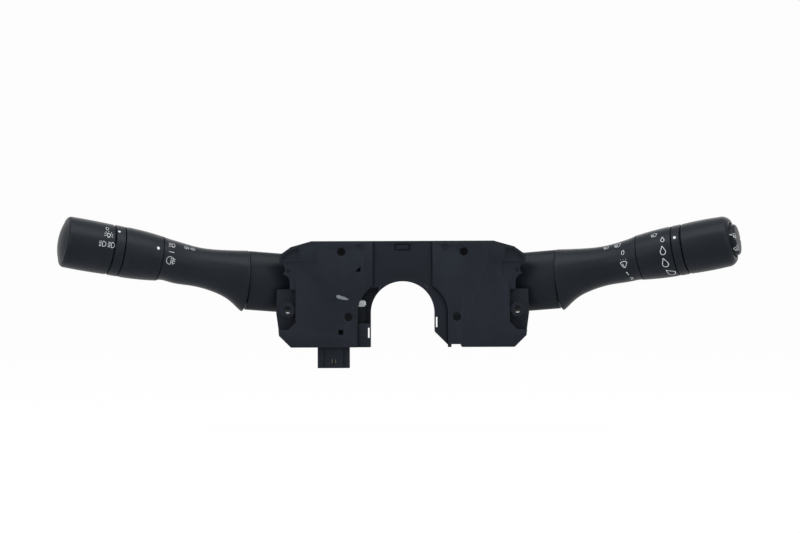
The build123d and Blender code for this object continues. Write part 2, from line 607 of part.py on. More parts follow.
# ---------------------------------------------------------------- levers
def lever_core(tube_end):
    """The load-bearing part of a stalk: hub on the tilt pin, tail for the detent, arm and tube."""
    hub = block((PIVOT_X - HUB_HALF_X, PIVOT_X + HUB_HALF_X), (PIVOT_Y - HUB_HALF_Y, PIVOT_Y + HUB_HALF_Y),
                (PIVOT_Z - HUB_HALF_Z, PIVOT_Z + HUB_HALF_Z))
    hub = fillet(hub.edges().filter_by(Axis.Z), 2.0)
    core = hub + rod_x(PIVOT_Y, PIVOT_Z, TAIL_R, PIVOT_X - TAIL_REACH, PIVOT_X)
    arm = block((0, ARM_LENGTH), (-ARM_HALF_Y, ARM_HALF_Y), (-ARM_HALF_H + 0.6, ARM_HALF_H - 0.6))
    tube = rod_x(0, 0, TUBE_R, ARM_LENGTH - 6, tube_end)
    core += STALK * (arm + tube)
    core -= STALK * rod_x(0, 0, TUBE_BORE_R, TUBE_BORE_START, tube_end + 1)
    core -= rod_x(PIVOT_Y, PIVOT_Z, PLUNGER_R + RUNNING, PIVOT_X - TAIL_REACH - 1, PIVOT_X - TAIL_BORE_END)
    height = YOKE_HALF_Z + 5
    return core - rod_z(PIVOT_X, PIVOT_Y, TILT_PIN_R + RUNNING, PIVOT_Z - height, PIVOT_Z + height)


def left_lever_core():
    groove = clip_start() - 0.1
    core = lever_core(LIGHT_TUBE_END)
    cut = ring(groove, groove + CLIP_T + 0.2, TUBE_R - CLIP_SINK - 0.1, TUBE_R + 1)
    return left(core - STALK * cut)


def clip_start():
    return LIGHT_START + 2 * RING_WALL + 2.0


def neck_oval(inset_h, inset_d):
    return Plane.YZ * Ellipse(NECK_HALF_D - inset_d, NECK_HALF_H - inset_h)


def neck_shroud():
    """Oval sleeve between the module and the stalk's skirt, with a web that sits on the arm."""
    end = NECK_END + SPIGOT_LENGTH
    wall = NECK_WALL
    outer = extrude(neck_oval(0, 0), NECK_END)
    outer += Pos(NECK_END, 0, 0) * extrude(neck_oval(SPIGOT_INSET_H, SPIGOT_INSET_D), SPIGOT_LENGTH)
    inner = extrude(neck_oval(wall, wall), NECK_END - wall)
    inner += extrude(neck_oval(SPIGOT_INSET_H + wall, SPIGOT_INSET_D + wall), end + 1)
    web = Pos(NECK_WEB, 0, 0) * extrude(neck_oval(wall / 2, wall / 2), RIB_T)
    shroud = NECK * (outer - inner + web)
    shroud -= block((0, NECK_INNER_X), (-50, 80), (-50, 80))
    gap = RUNNING
    arm = block((0, ARM_LENGTH + 1), (-ARM_HALF_Y - gap, ARM_HALF_Y + gap), (-ARM_HALF_H - gap, ARM_HALF_H + gap))
    return shroud - STALK * (arm + rod_x(0, 0, TUBE_R + gap, ARM_LENGTH - 7, NECK_END + 20))


def oval(distance, height, half_height, half_depth, inset=0):
    place = Plane(origin=(distance, 0, height), x_dir=(0, 1, 0), z_dir=(1, 0, 0))
    return place * Ellipse(half_depth - inset, half_height - inset)


def stalk_form(end, inset):
    sections = [oval(*section, inset) for section in SKIRT_SECTIONS]
    sections.append(oval(end, 0, THROAT_R, THROAT_R, inset))
    return loft(sections)


def stalk_shell(end):
    """The whole sleeve round the tube, before it is split into a front and a rear half."""
    shell = stalk_form(end, 0) - stalk_form(end, SHELL_WALL)
    for place in SHELL_RIBS:
        rib = rod_x(0, 0, 30, place, place + RIB_T) & stalk_form(end, SHELL_WALL / 2)
        shell += rib - rod_x(0, 0, TUBE_R + RUNNING, place - 1, place + RIB_T + 1)
    return shell - skirt_cut()


def skirt_cut():
    """Everything inboard of the skirt's slightly leaning end."""
    return Pos(SKIRT_START, 0, 0) * Rot(0, SKIRT_TILT, 0) * Pos(-20, 0, 0) * Box(40, 60, 80)


def stalk_half(end, front):
    side = (-40, -0.02) if front else (0.02, 40)
    return STALK * (stalk_shell(end) & block((0, 200), side, (-60, 60)))


# ---------------------------------------------------------------- rings and knobs
def fixed_ring(start, end):
    """Narrow ring that carries an index mark; it is keyed to the tube."""
    rim = turned((start, RING_R - 0.5), (start, TUBE_R + RUNNING), (end, TUBE_R + RUNNING),
                 (end, RING_R - 0.5), (end - 0.5, RING_R), (start + 0.5, RING_R))
    return STALK * rim


def turning_ring(start, end, radius):
    """Hollow grip ring: a flared sleeve, a web at the outer end and a hub on the tube."""
    bore = TUBE_R + RUNNING
    grip = make_face(
        Polyline((start, THROAT_R - RING_WALL), (start, THROAT_R))
        + Spline((start, THROAT_R), (start + 9, THROAT_R + 0.62 * (radius - THROAT_R)), (end - 3, radius))
        + Polyline((end - 3, radius), (end, radius - 0.2), (end, bore), (start + 4, bore),
                   (start + 4, bore + RING_WALL), (end - RING_WALL, bore + RING_WALL), (end - RING_WALL, radius - RING_WALL),
                   (end - 6, radius - RING_WALL), (start, THROAT_R - RING_WALL))
    )
    return STALK * revolve(Plane.XZ * grip, Axis.X, 360)


def ring_wiper(start, end):
    """Copper contact arc carried round inside a turning ring."""
    inner = TUBE_R + RUNNING + RING_WALL
    arc = ring(end - RING_WALL - 2.2, end - RING_WALL, inner, inner + 1.0)
    return STALK * (arc & block((start, end), (-20, 20), (0, 20)))


def light_knob():
    """Round knob with a domed end, a hub on the tube and a boss that grips the switch shaft."""
    corner_x, corner_r = LIGHT_RIM + 1.2, KNOB_R - 2.6
    rise = LIGHT_RIM + LIGHT_DOME - corner_x
    dome_r = (corner_r ** 2 + rise ** 2) / (2 * rise)
    half_r = corner_r / 2
    half_x = LIGHT_RIM + LIGHT_DOME - dome_r + sqrt(dome_r ** 2 - half_r ** 2)
    lip, crease = (LIGHT_START + 0.8, KNOB_R - 0.3), (LIGHT_RIM - 1.5, KNOB_R - 0.1)
    outer_edge = Polyline((LIGHT_START, KNOB_R - 1.0), lip) \
        + ThreePointArc(lip, (LIGHT_START + 14, KNOB_R), crease) \
        + ThreePointArc(crease, (LIGHT_RIM + 0.4, KNOB_R - 0.9), (corner_x, corner_r)) \
        + ThreePointArc((corner_x, corner_r), (half_x, half_r), (LIGHT_RIM + LIGHT_DOME, 0))
    bore = TUBE_R + RUNNING
    inner_edge_line = Polyline(
        (LIGHT_RIM + LIGHT_DOME, 0), (LIGHT_RIM - 1, 0), (LIGHT_RIM - 1, TUBE_BORE_R - RUNNING),
        (LIGHT_RIM - LIGHT_BOSS, TUBE_BORE_R - RUNNING), (LIGHT_RIM - LIGHT_BOSS, TUBE_R),
        (LIGHT_RIM - 1, TUBE_R), (LIGHT_RIM - 1, KNOB_R - 4), (LIGHT_RIM - 3, KNOB_R - RING_WALL),
        (LIGHT_START + RING_WALL, KNOB_R - RING_WALL), (LIGHT_START + RING_WALL, bore + RING_WALL),
        (clip_start(), bore + RING_WALL), (clip_start(), bore), (LIGHT_START, bore), (LIGHT_START, KNOB_R - 1.0),
    )
    return STALK * revolve(Plane.XZ * make_face(outer_edge + inner_edge_line), Axis.X, 360)


def knob_clip():
    """Open spring clip in the tube's groove, against the knob's hub."""
    clip = ring(clip_start(), clip_start() + CLIP_T, TUBE_R - CLIP_SINK, TUBE_R + CLIP_REACH)
    return STALK * (clip - block((clip_start() - 1, clip_start() + 2), (-2.5, 2.5), (-20, 0)))


def light_shaft():
    return STALK * rod_x(0, 0, TUBE_BORE_R - RUNNING - PRESS, LIGHT_SHAFT_START, LIGHT_RIM - 1)


def light_rotor():
    """Copper contact disc on the inner end of the switch shaft."""
    start = LIGHT_SHAFT_START - 1.0
    disc = rod_x(0, 0, TUBE_BORE_R - 4 * RUNNING, start, LIGHT_SHAFT_START)
    return STALK * (disc - rod_x(0, 0, 1.6, start - 1, LIGHT_SHAFT_START + 1))


def light_contact_disc():
    """Fixed contact disc at the bottom of the tube's bore."""
    return STALK * rod_x(0, 0, TUBE_BORE_R - RUNNING, TUBE_BORE_START, LIGHT_SHAFT_START - 1.0 - CONTACT_GAP)


def end_cap():
    """Fixed end of the wiper stalk, with a round well for the rocker."""
    profile = make_face(
        Polyline((CAP_START, TUBE_R + RUNNING), (CAP_START, CAP_R - 0.9), (CAP_START + 0.7, CAP_R - 0.3))
        + Spline((CAP_START + 0.7, CAP_R - 0.3), (CAP_START + 12, CAP_R), (CAP_SHOULDER, CAP_R - 0.3))
        + ThreePointArc((CAP_SHOULDER, CAP_R - 0.3), (CAP_END - 1.7, CAP_R - 1.3), (CAP_END, CAP_RIM_R))
        + Polyline((CAP_END, CAP_RIM_R), (CAP_END, ROCKER_WELL_R), (CAP_END - 12, ROCKER_WELL_R),
                   (CAP_END - 12, CAP_R - RING_WALL), (CAP_START + 4, CAP_R - RING_WALL),
                   (CAP_START + 4, TUBE_R + RUNNING), (CAP_START, TUBE_R + RUNNING))
    )
    cap = STALK * revolve(Plane.XZ * profile, Axis.X, 360)
    hole = Cylinder(ROCKER_PIN_R + PRESS, 2 * rocker_pin_half())
    return cap - STALK * Pos(ROCKER_PIVOT, 0, 0) * Rot(90, 0, 0) * hole


def rocker_pin_half():
    return CAP_RIM_R + 0.4


def rocker_pin():
    pin = Cylinder(ROCKER_PIN_R, 2 * rocker_pin_half() - 0.2)
    return STALK * Pos(ROCKER_PIVOT, 0, 0) * Rot(90, 0, 0) * pin


def rocker():
    """Domed rocker button: ball-shaped below the rim, so that it tips in its well."""
    rim = CAP_END - ROCKER_PIVOT
    ball_edge = sqrt(ROCKER_BALL_R ** 2 - rim ** 2)
    low_r = sqrt(ROCKER_BALL_R ** 2 - (ROCKER_DEPTH - 1.5) ** 2)
    low = ROCKER_PIVOT - ROCKER_DEPTH + 1.5
    edge, crown = (ROCKER_TOP - 1.6, ROCKER_TOP_R), (ROCKER_TOP, ROCKER_TOP_R - 1.6)
    profile = make_face(
        Polyline((low, 0), (low, low_r))
        + ThreePointArc((low, low_r), (ROCKER_PIVOT, ROCKER_BALL_R), (CAP_END, ball_edge))
        + Line((CAP_END, ball_edge), edge)
        + ThreePointArc(edge, (ROCKER_TOP - 0.5, ROCKER_TOP_R - 0.5), crown)
        + Polyline(crown, (ROCKER_TOP, 0), (low, 0))
    )
    body = revolve(Plane.XZ * profile, Axis.X, 360)
    body -= Pos(ROCKER_TOP, 0, 0) * Rot(0, 45, 0) * Box(0.9, 30, 0.9)
    body -= Pos(ROCKER_PIVOT, 0, 0) * Rot(90, 0, 0) * Cylinder(ROCKER_PIN_R + RUNNING, 40)
    return STALK * body


def rocker_switch():
    """Small contact block under the rocker, pushed on the end of the tube."""
    seat = WIPER_TUBE_END
    base = rod_x(0, 0, CAP_R - RING_WALL - 0.2, seat, seat + 5)
    base += rod_x(0, 0, TUBE_BORE_R - RUNNING, seat - 6, seat)
    for side in (1, -1):
        base += rod_x(0, side * 6.0, 1.6, seat + 5, seat + 8.2)
    return STALK * base


# ---------------------------------------------------------------- cancelling mechanism
def cancel_slider():
    """Forked bar and shoe that carry the pawl towards the column when the turn signal is on."""
    y = (CANCEL_FRONT, CANCEL_BACK)
    z = (CANCEL_Z - CANCEL_HALF_H, CANCEL_Z + CANCEL_HALF_H)
    slider = block((CANCEL_FORK_X, CANCEL_END_X), y, z) + block((SHOE_X0, SHOE_X1), y, (SHOE_LOW_Z, SHOE_TOP_Z))
    middle = (CANCEL_FRONT + CANCEL_BACK) / 2
    fork = (middle - PAWL_HALF_Y - GUIDE_FIT, middle + PAWL_HALF_Y + GUIDE_FIT)
    slider -= block((SHOE_X0 - 1, CANCEL_PIN_X + PAWL_T), fork, (PAWL_ROOM_Z, z[1] + 1))
    lug_top = z[1] + 2 * CANCEL_SPRING_R + 0.8
    slider += block((CANCEL_END_X - LUG_T, CANCEL_END_X), y, (z[1] - 1, lug_top))
    return left(slider - rod_y(CANCEL_PIN_X, CANCEL_Z, CANCEL_PIN_R, CANCEL_FRONT - 1, CANCEL_BACK + 1))


def cancel_pin():
    return left(rod_y(CANCEL_PIN_X, CANCEL_Z, CANCEL_PIN_R, CANCEL_FRONT + 0.1, CANCEL_BACK - 0.1))


def cancel_pawl():
    middle = (CANCEL_FRONT + CANCEL_BACK) / 2
    half = PAWL_T / 2
    nose = outline((CANCEL_NOSE_X, -1.0), (CANCEL_NOSE_X + 1.2, -half), (CANCEL_PIN_X, -half),
                   (CANCEL_PIN_X, half), (CANCEL_NOSE_X + 1.2, half), (CANCEL_NOSE_X, 1.0))
    flat = Pos(0, CANCEL_Z) * nose + Pos(CANCEL_PIN_X, CANCEL_Z) * Circle(half)
    body = slab(flat, middle - PAWL_HALF_Y, middle + PAWL_HALF_Y)
    return left(body - rod_y(CANCEL_PIN_X, CANCEL_Z, CANCEL_PIN_R + RUNNING, 0, CANCEL_BACK + 1))


def cancel_spring():
    start = HOUSING_INNER_X + HOUSING_WALL
    length = CANCEL_END_X - LUG_T - start
    middle = (CANCEL_FRONT + CANCEL_BACK) / 2
    coil = coil_spring(CANCEL_SPRING_R, length - 0.3)
    return left(Pos(start + 0.15, middle, CANCEL_Z + CANCEL_HALF_H + CANCEL_SPRING_R + 0.4) * coil)


# ---------------------------------------------------------------- electrical parts
def terminal_places(middle, width):
    """X of each terminal: as many as fit in a plug of this outer width."""
    room = width - 2 * PLUG_WALL - 2 * TERMINAL_MARGIN
    spaces = int(room / TERMINAL_PITCH)
    return [middle + (index - spaces / 2) * TERMINAL_PITCH for index in range(spaces + 1)]


def contact_board():
    front = TRACK_LINE + TRACK_T
    return block((BOARD_X0, BOARD_X1), (front, front + BOARD_T), (BOARD_Z0, BOARD_Z1))


def contact_tracks():
    """Copper tracks on the front of the board, under the contact shoe."""
    tracks = []
    for index in range(TRACKS):
        z = FINGER_LOW_Z + 1.2 + index * 1.6
        tracks.append(block((PIVOT_X - 12, PIVOT_X + 5.5), (TRACK_LINE, TRACK_LINE + TRACK_T),
                            (z - 0.5, z + 0.5)))
    return Compound(children=tracks)


def light_plug_y():
    return (LIGHT_PLUG_FRONT + LIGHT_PLUG_BACK) / 2


def light_plug_shell():
    """Downward socket under the lighting module, keyed by two ribs."""
    x = (LIGHT_PLUG_X - LIGHT_PLUG_W / 2, LIGHT_PLUG_X + LIGHT_PLUG_W / 2)
    y = (LIGHT_PLUG_FRONT, LIGHT_PLUG_BACK)
    shell = block(x, y, (LIGHT_PLUG_LOW, BOTTOM_Z))
    shell = fillet(shell.edges().filter_by(Axis.Z), 1.0)
    shell -= block((x[0] + PLUG_WALL, x[1] - PLUG_WALL), (y[0] + PLUG_WALL, y[1] - PLUG_WALL),
                   (LIGHT_PLUG_LOW - 1, BOTTOM_Z - PLUG_FLOOR))
    for rib_x in (x[0] + 3.4, x[1] - 4.2):
        shell -= block((rib_x - 0.6, rib_x + 0.6), (y[0] - 1, y[0] + 0.6),
                       (LIGHT_PLUG_LOW - 1, BOTTOM_Z - 1.2))
    shell -= block((LIGHT_PLUG_X - 1.6, LIGHT_PLUG_X + 1.6), (y[0] - 1, y[0] + PLUG_WALL + 1),
                   (LIGHT_PLUG_LOW + 2.2, LIGHT_PLUG_LOW + 5.5))
    hole = TERMINAL_W + 2 * TERMINAL_FIT
    for pin_x in terminal_places(LIGHT_PLUG_X, LIGHT_PLUG_W):
        shell -= Pos(pin_x, light_plug_y(), BOTTOM_Z) * Box(hole, hole, 2 * PLUG_FLOOR + 2)
    return left(shell)


def light_terminals():
    """Bent terminals, from the socket up and back to the board."""
    half = TERMINAL_W / 2
    bend_z = BOARD_Z0 + 1.6
    pins = []
    for x in terminal_places(LIGHT_PLUG_X, LIGHT_PLUG_W):
        side = (x - half, x + half)
        upright = block(side, (light_plug_y() - half, light_plug_y() + half),
                        (LIGHT_PLUG_LOW + TERMINAL_STOP, bend_z + half))
        foot = block(side, (light_plug_y() - half, TRACK_LINE + TRACK_T), (bend_z - half, bend_z + half))
        pins.append(upright + foot)
    return left(Compound(children=pins))


def wiper_plug_shell():
    """Socket on the back of the wiper module."""
    x = (WIPER_PLUG_X - WIPER_PLUG_W / 2, WIPER_PLUG_X + WIPER_PLUG_W / 2)
    z = (WIPER_PLUG_Z - WIPER_PLUG_H / 2, WIPER_PLUG_Z + WIPER_PLUG_H / 2)
    shell = block(x, (HOUSING_BACK, WIPER_PLUG_BACK), z)
    shell = fillet(shell.edges().filter_by(Axis.Y), 1.0)
    shell -= block((x[0] + PLUG_WALL, x[1] - PLUG_WALL), (HOUSING_BACK + PLUG_FLOOR, WIPER_PLUG_BACK + 1),
                   (z[0] + PLUG_WALL, z[1] - PLUG_WALL))
    shell += block((WIPER_PLUG_X - 2.5, WIPER_PLUG_X + 2.5), (WIPER_PLUG_BACK - 6, WIPER_PLUG_BACK - 2),
                   (z[1], z[1] + 1.4))
    hole = TERMINAL_W + 2 * TERMINAL_FIT
    for pin_x in terminal_places(WIPER_PLUG_X, WIPER_PLUG_W):
        shell -= Pos(pin_x, HOUSING_BACK, WIPER_PLUG_Z) * Box(hole, 2 * PLUG_FLOOR + 2, hole)
    return shell


def wiper_terminals():
    half = TERMINAL_W / 2
    board_back = TRACK_LINE + TRACK_T + BOARD_T
    pins = []
    for x in terminal_places(WIPER_PLUG_X, WIPER_PLUG_W):
        pins.append(block((x - half, x + half), (board_back, WIPER_PLUG_BACK - TERMINAL_STOP),
                          (WIPER_PLUG_Z - half, WIPER_PLUG_Z + half)))
    return Compound(children=pins)


# ---------------------------------------------------------------- the whole switch
LIGHT_SHELL_END = FOG_START - SEAM
WIPER_SHELL_END = INTERVAL_START - SEAM

PARTS = {
    "base_frame": base_frame,
    "column_collar": column_collar,
    "left_front_cover": left_front_cover,
    "right_front_cover": right_front_cover,
    "cover_screws": cover_screws,
    "left_rear_housing": left_rear_housing,
    "right_rear_housing": right_rear_housing,
    "turn_yoke": lambda: left(yoke()),
    "wiper_yoke": yoke,
    "turn_tilt_pin": lambda: left(tilt_pin()),
    "wiper_tilt_pin": tilt_pin,
    "turn_contact_shoe": lambda: left(contact_bridge()),
    "wiper_contact_shoe": contact_bridge,
    "left_detent_cam": lambda: left(detent_cam()),
    "right_detent_cam": detent_cam,
    "left_detent_plunger": lambda: left(detent_plunger()),
    "right_detent_plunger": detent_plunger,
    "left_detent_spring": lambda: left(detent_spring()),
    "right_detent_spring": detent_spring,
    "left_lever_core": left_lever_core,
    "right_lever_core": lambda: lever_core(WIPER_TUBE_END),
    "left_neck_shroud": lambda: left(neck_shroud()),
    "right_neck_shroud": neck_shroud,
    "left_stalk_front_shell": lambda: left(stalk_half(LIGHT_SHELL_END, True)),
    "left_stalk_rear_shell": lambda: left(stalk_half(LIGHT_SHELL_END, False)),
    "right_stalk_front_shell": lambda: stalk_half(WIPER_SHELL_END, True),
    "right_stalk_rear_shell": lambda: stalk_half(WIPER_SHELL_END, False),
    "fog_ring": lambda: left(turning_ring(FOG_START, FOG_END, RING_R)),
    "fog_ring_wiper": lambda: left(ring_wiper(FOG_START, FOG_END)),
    "left_index_ring": lambda: left(fixed_ring(FOG_END + SEAM, LIGHT_START - SEAM)),
    "light_knob": lambda: left(light_knob()),
    "light_knob_clip": lambda: left(knob_clip()),
    "light_shaft": lambda: left(light_shaft()),
    "light_rotor": lambda: left(light_rotor()),
    "light_contact_disc": lambda: left(light_contact_disc()),
    "interval_ring": lambda: turning_ring(INTERVAL_START, INTERVAL_END, CAP_R - 0.4),
    "interval_ring_wiper": lambda: ring_wiper(INTERVAL_START, INTERVAL_END),
    "right_index_ring": lambda: fixed_ring(INTERVAL_END + SEAM, CAP_START - SEAM),
    "stalk_end_cap": end_cap,
    "rear_wiper_rocker": rocker,
    "rocker_pin": rocker_pin,
    "rocker_switch": rocker_switch,
    "cancel_slider": cancel_slider,
    "cancel_pawl": cancel_pawl,
    "cancel_pin": cancel_pin,
    "cancel_spring": cancel_spring,
    "left_contact_board": lambda: left(contact_board()),
    "right_contact_board": contact_board,
    "left_contact_tracks": lambda: left(contact_tracks()),
    "right_contact_tracks": contact_tracks,
    "light_plug_shell": light_plug_shell,
    "light_plug_terminals": light_terminals,
    "wiper_plug_shell": wiper_plug_shell,
    "wiper_plug_terminals": wiper_terminals,
}

for name, make in PARTS.items():
    save(make(), name)
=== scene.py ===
"""Finish of the combination stalk switch: moulded plastics, printed symbols, light and camera."""

import json
from math import ceil, cos, dist, pi, radians, sin

import bpy
from mathutils import Matrix, Vector

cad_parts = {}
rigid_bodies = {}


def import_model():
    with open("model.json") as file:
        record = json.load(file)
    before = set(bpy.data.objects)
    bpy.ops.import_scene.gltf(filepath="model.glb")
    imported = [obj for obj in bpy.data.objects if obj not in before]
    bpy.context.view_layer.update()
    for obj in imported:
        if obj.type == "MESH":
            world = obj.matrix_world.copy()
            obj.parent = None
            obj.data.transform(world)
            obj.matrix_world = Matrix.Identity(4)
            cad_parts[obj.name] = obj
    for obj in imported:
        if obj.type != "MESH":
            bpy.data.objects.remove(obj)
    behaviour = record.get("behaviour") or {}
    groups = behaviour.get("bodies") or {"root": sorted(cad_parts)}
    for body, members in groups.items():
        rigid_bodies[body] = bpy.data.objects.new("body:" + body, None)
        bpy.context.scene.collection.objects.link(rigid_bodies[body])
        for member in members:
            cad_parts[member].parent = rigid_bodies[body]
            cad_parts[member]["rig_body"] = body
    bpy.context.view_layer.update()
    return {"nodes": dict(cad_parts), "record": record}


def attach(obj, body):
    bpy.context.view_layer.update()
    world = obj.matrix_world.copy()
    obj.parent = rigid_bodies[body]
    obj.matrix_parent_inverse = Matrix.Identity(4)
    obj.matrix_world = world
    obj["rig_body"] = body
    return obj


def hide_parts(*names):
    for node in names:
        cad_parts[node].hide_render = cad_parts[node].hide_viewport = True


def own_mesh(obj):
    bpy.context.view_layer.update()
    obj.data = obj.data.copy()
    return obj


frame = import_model()
MM = 0.001

# ------------------------------------------------------------------ camera and surroundings
CAMERA_X, CAMERA_Y, CAMERA_Z = -1.55 * MM, -1708 * MM, 29.2 * MM
CAMERA_LENS = 123.387
SENSOR_WIDTH = 36
CAMERA_ROLL = 0.004      # radians; the right side of the image is turned up
FLOOR_Z = -0.075
SWEEP_SIZE = 14.0        # width and length of the paper sweep, in m
SWEEP_STEPS = 160        # rows of faces along the sweep
SWEEP_START_Y = 3.5      # where the paper starts to curve up
SWEEP_RADIUS = 2.0
PAPER_GLOW = 0.97        # share of the paper's brightness that does not come from the lamps
WORLD_FILL = 0.36        # strength of the surroundings as a light

# ------------------------------------------------------------------ colours
STALK_BLACK = (0.0070, 0.0096, 0.0136, 1)
STALK_BLACK_PALE = (0.0090, 0.0120, 0.0166, 1)
COVER_BLACK = (0.0096, 0.0122, 0.0174, 1)
COVER_BLACK_PALE = (0.0122, 0.0152, 0.0212, 1)
FRAME_BLACK = (0.0088, 0.0114, 0.0158, 1)
SCREW_BLACK = (0.0026, 0.0030, 0.0036, 1)
SCREW_BLACK_PALE = (0.0044, 0.0050, 0.0058, 1)
# painted light: a lighter copy of the screw colour for the screws below the pivots, to lift the
# shade of their recesses
LOW_SCREW_PAINTED_LIGHT = (0.0120, 0.0140, 0.0172, 1)
LOW_SCREW_PAINTED_LIGHT_PALE = (0.0160, 0.0184, 0.0225, 1)
INNER_GREY = (0.030, 0.031, 0.033, 1)
INNER_GREY_PALE = (0.042, 0.043, 0.045, 1)
NYLON_WHITE = (0.66, 0.70, 0.72, 1)
NYLON_SHADE = (0.56, 0.60, 0.62, 1)
STEEL = (0.52, 0.53, 0.55, 1)
STEEL_DARK = (0.36, 0.37, 0.39, 1)
COPPER = (0.68, 0.36, 0.20, 1)
COPPER_DARK = (0.45, 0.22, 0.12, 1)
BOARD_GREEN = (0.020, 0.095, 0.040, 1)
BOARD_GREEN_DARK = (0.012, 0.060, 0.026, 1)
TIN = (0.20, 0.20, 0.19, 1)
TIN_DARK = (0.12, 0.12, 0.11, 1)
PRINT_WHITE = (0.62, 0.64, 0.66, 1)
PRINT_SHADE = (0.50, 0.52, 0.55, 1)
DAB_GREY = (0.16, 0.18, 0.21, 1)
DAB_SHADE = (0.08, 0.09, 0.11, 1)
PAPER_WHITE = (0.90, 0.90, 0.90, 1)


# ------------------------------------------------------------------ shader groups and materials
PATCH_LOW, PATCH_HIGH = 0.35, 0.65   # noise values that give the two colours in full
RELIEF_DEPTH = 0.0002


def grain_group():
    """Moulded grain: two noises give a colour mix, a roughness and a height."""
    group = bpy.data.node_groups.new("moulded_grain", "ShaderNodeTree")
    for name, kind, value in (
        ("Colour", "NodeSocketColor", (0.02, 0.02, 0.02, 1)),
        ("Pale Colour", "NodeSocketColor", (0.03, 0.03, 0.03, 1)),
        ("Grain Scale", "NodeSocketFloat", 3000.0),
        ("Patch Scale", "NodeSocketFloat", 40.0),
        ("Roughness", "NodeSocketFloat", 0.5),
        ("Roughness Spread", "NodeSocketFloat", 0.1),
    ):
        socket = group.interface.new_socket(name=name, in_out="INPUT", socket_type=kind)
        socket.default_value = value
    group.interface.new_socket(name="Colour", in_out="OUTPUT", socket_type="NodeSocketColor")
    group.interface.new_socket(name="Roughness", in_out="OUTPUT", socket_type="NodeSocketFloat")
    group.interface.new_socket(name="Height", in_out="OUTPUT", socket_type="NodeSocketFloat")
    nodes, links = group.nodes, group.links
    inputs, outputs = nodes.new("NodeGroupInput"), nodes.new("NodeGroupOutput")
    place = nodes.new("ShaderNodeTexCoord")
    fine, patch = nodes.new("ShaderNodeTexNoise"), nodes.new("ShaderNodeTexNoise")
    fine.inputs["Detail"].default_value = 3
    patch.inputs["Detail"].default_value = 4
    links.new(place.outputs["Object"], fine.inputs["Vector"])
    links.new(place.outputs["Object"], patch.inputs["Vector"])
    links.new(inputs.outputs["Grain Scale"], fine.inputs["Scale"])
    links.new(inputs.outputs["Patch Scale"], patch.inputs["Scale"])
    spread = nodes.new("ShaderNodeMapRange")
    spread.inputs["From Min"].default_value = PATCH_LOW
    spread.inputs["From Max"].default_value = PATCH_HIGH
    links.new(patch.outputs["Fac"], spread.inputs["Value"])
    mix = nodes.new("ShaderNodeMix")
    mix.data_type = "RGBA"
    links.new(spread.outputs["Result"], mix.inputs["Factor"])
    links.new(inputs.outputs["Colour"], mix.inputs["A"])
    links.new(inputs.outputs["Pale Colour"], mix.inputs["B"])
    rough = nodes.new("ShaderNodeMath")
    rough.operation = "MULTIPLY_ADD"
    links.new(patch.outputs["Fac"], rough.inputs[0])
    links.new(inputs.outputs["Roughness Spread"], rough.inputs[1])
    links.new(inputs.outputs["Roughness"], rough.inputs[2])
    links.new(mix.outputs["Result"], outputs.inputs["Colour"])
    links.new(rough.outputs[0], outputs.inputs["Roughness"])
    links.new(fine.outputs["Fac"], outputs.inputs["Height"])
    return group


GRAIN = grain_group()


def material(name, colour, pale, grain=2600.0, patch=45.0, rough=0.5, spread=0.1,
             bump=0.05, metal=0.0, specular=0.5):
    """A material whose colour, roughness and fine relief come from the shared grain group."""
    made = bpy.data.materials.new(name)
    made.use_nodes = True
    nodes, links = made.node_tree.nodes, made.node_tree.links
    shader = nodes["Principled BSDF"]
    shader.inputs["Metallic"].default_value = metal
    shader.inputs["Specular IOR Level"].default_value = specular
    group = nodes.new("ShaderNodeGroup")
    group.node_tree = GRAIN
    group.inputs["Colour"].default_value = colour
    group.inputs["Pale Colour"].default_value = pale
    group.inputs["Grain Scale"].default_value = grain
    group.inputs["Patch Scale"].default_value = patch
    group.inputs["Roughness"].default_value = rough
    group.inputs["Roughness Spread"].default_value = spread
    relief = nodes.new("ShaderNodeBump")
    relief.inputs["Strength"].default_value = bump
    relief.inputs["Distance"].default_value = RELIEF_DEPTH
    links.new(group.outputs["Colour"], shader.inputs["Base Color"])
    links.new(group.outputs["Roughness"], shader.inputs["Roughness"])
    links.new(group.outputs["Height"], relief.inputs["Height"])
    links.new(relief.outputs["Normal"], shader.inputs["Normal"])
    return made


